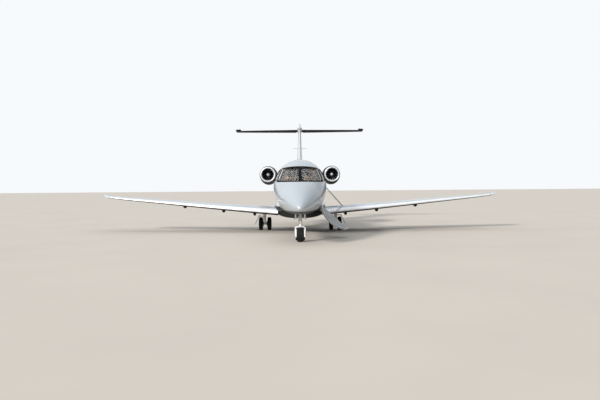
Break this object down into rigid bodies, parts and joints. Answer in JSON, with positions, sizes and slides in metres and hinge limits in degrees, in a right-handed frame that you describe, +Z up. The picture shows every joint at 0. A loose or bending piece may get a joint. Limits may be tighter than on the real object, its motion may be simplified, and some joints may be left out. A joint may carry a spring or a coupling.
{
  "type": "business jet",
  "caption": "Twin-engined business jet with a T-tail, parked on its wheels with its forward airstair open; wheels, fans, doors and control surfaces move.",
  "frame": {"origin": "on the ground under the centre of the bounding box: midway along the length and on the plane of symmetry", "axes": "+X towards the aircraft's left, or port, side; +Y towards the tail; +Z up"},
  "size_m": [17, 16.85, 5.4],
  "materials": {
    "paint": "gloss",
    "light_paint": "gloss",
    "gear_paint": "satin",
    "stair_paint": "satin",
    "wheel_metal": "satin",
    "rail_metal": "satin",
    "fan_metal": "satin",
    "glazing": "gloss",
    "trim": "matte",
    "leather": "satin",
    "tyre": "matte"
  },
  "bodies": {
    "airframe": {"nose_cone": "paint", "cockpit_floor_pan": "paint", "cockpit_shell": "paint", "cabin_floor_pan": "paint", "side_panel_left": "paint", "side_panel_right": "paint", "roof_panel": "paint", "aft_fuselage": "paint", "belly_fairing": "paint", "windscreen_left": "glazing", "windscreen_right": "glazing", "side_window_left": "glazing", "side_window_right": "glazing", "cabin_windows_left": "glazing", "cabin_windows_right": "glazing", "instrument_panel": "trim", "pilot_seats": "leather", "cabin_seats": "leather", "wing_left": "paint", "wing_right": "paint", "flap_left": "paint", "flap_right": "paint", "fin": "light_paint", "tailplane": "light_paint", "tail_bullet": "light_paint", "pylon_left": "light_paint", "pylon_right": "light_paint", "nacelle_left": "light_paint", "nacelle_right": "light_paint", "engine_core_left": "fan_metal", "engine_core_right": "fan_metal", "nose_strut": "gear_paint", "nose_gear_door_left": "paint", "nose_gear_door_right": "paint", "main_leg_left": "gear_paint", "main_leg_right": "gear_paint", "main_gear_door_left": "paint", "main_gear_door_right": "paint"},
    "nose_fork": {"nose_fork": "gear_paint"},
    "nose_wheel": {"nose_tyre": "tyre", "nose_rim": "wheel_metal"},
    "wheels_left": {"main_wheels_left": "wheel_metal", "main_tyre_left_outer": "tyre", "main_tyre_left_inner": "tyre"},
    "wheels_right": {"main_wheels_right": "wheel_metal", "main_tyre_right_outer": "tyre", "main_tyre_right_inner": "tyre"},
    "fan_left": {"fan_left": "fan_metal"},
    "fan_right": {"fan_right": "fan_metal"},
    "airstair": {"airstair": "stair_paint"},
    "stair_posts": {"stair_post_front": "rail_metal", "stair_post_rear": "rail_metal"},
    "stair_rails": {"stair_rail_front": "rail_metal", "stair_rail_rear": "rail_metal"},
    "cargo_door": {"cargo_door": "paint"},
    "aileron_left": {"aileron_left": "light_paint"},
    "aileron_right": {"aileron_right": "light_paint"},
    "elevator": {"elevator_left": "light_paint", "elevator_right": "light_paint"},
    "rudder": {"rudder": "light_paint"}
  },
  "joints": [
    {"name": "nose_steer", "type": "hinge", "parent": "airframe", "child": "nose_fork", "pos_m": [0, -6.375, 0.7], "axis": [0, 0, 1], "range_deg": [-90, 90]},
    {"name": "nose_wheel", "type": "hinge", "parent": "nose_fork", "child": "nose_wheel", "pos_m": [0, -6.315, 0.234], "axis": [1, 0, 0], "continuous": true},
    {"name": "wheels_left", "type": "hinge", "parent": "airframe", "child": "wheels_left", "pos_m": [1.528, -0.225, 0.28], "axis": [1, 0, 0], "continuous": true},
    {"name": "wheels_right", "type": "hinge", "parent": "airframe", "child": "wheels_right", "pos_m": [-1.528, -0.225, 0.28], "axis": [1, 0, 0], "continuous": true},
    {"name": "fan_left", "type": "hinge", "parent": "airframe", "child": "fan_left", "pos_m": [1.517, 2.315, 2.475], "axis": [0, 1, 0], "continuous": true},
    {"name": "fan_right", "type": "hinge", "parent": "airframe", "child": "fan_right", "pos_m": [-1.517, 2.315, 2.475], "axis": [0, 1, 0], "continuous": true},
    {"name": "airstair", "type": "hinge", "parent": "airframe", "child": "airstair", "pos_m": [0.705, -4.575, 1.19], "axis": [0, -1, 0], "range_deg": [0, 133]},
    {"name": "stair_posts", "type": "hinge", "parent": "airstair", "child": "stair_posts", "pos_m": [1.165, -4.575, 0.79], "axis": [0, 1, 0], "range_deg": [0, 86]},
    {"name": "stair_rails", "type": "hinge", "parent": "stair_posts", "child": "stair_rails", "pos_m": [1.532, -4.575, 1.155], "axis": [0, -1, 0], "range_deg": [0, 90]},
    {"name": "cargo_door", "type": "hinge", "parent": "airframe", "child": "cargo_door", "pos_m": [0.722, 1.15, 2.512], "axis": [0, -1, 0], "range_deg": [0, 100]},
    {"name": "aileron_left", "type": "hinge", "parent": "airframe", "child": "aileron_left", "pos_m": [5.58, -0.0641, 1.2484], "axis": [0.9933, 0.0737, 0.0889], "range_deg": [-20, 20]},
    {"name": "aileron_right", "type": "hinge", "parent": "airframe", "child": "aileron_right", "pos_m": [-5.58, -0.0641, 1.2484], "axis": [0.9933, -0.0737, -0.0889], "range_deg": [-20, 20]},
    {"name": "elevator", "type": "hinge", "parent": "airframe", "child": "elevator", "pos_m": [0, 7.525, 5.06], "axis": [1, 0, 0], "range_deg": [0, 37]},
    {"name": "rudder", "type": "hinge", "parent": "airframe", "child": "rudder", "pos_m": [0, 6.33, 2.96], "axis": [0, 0.4509, 0.8926], "range_deg": [-25, 25]}
  ],
  "couplings": [
    {"joint": "stair_posts", "follows": "airstair", "ratio": 0.6466},
    {"joint": "stair_rails", "follows": "airstair", "ratio": 0.6766},
    {"joint": "aileron_right", "follows": "aileron_left", "ratio": -1}
  ]
}
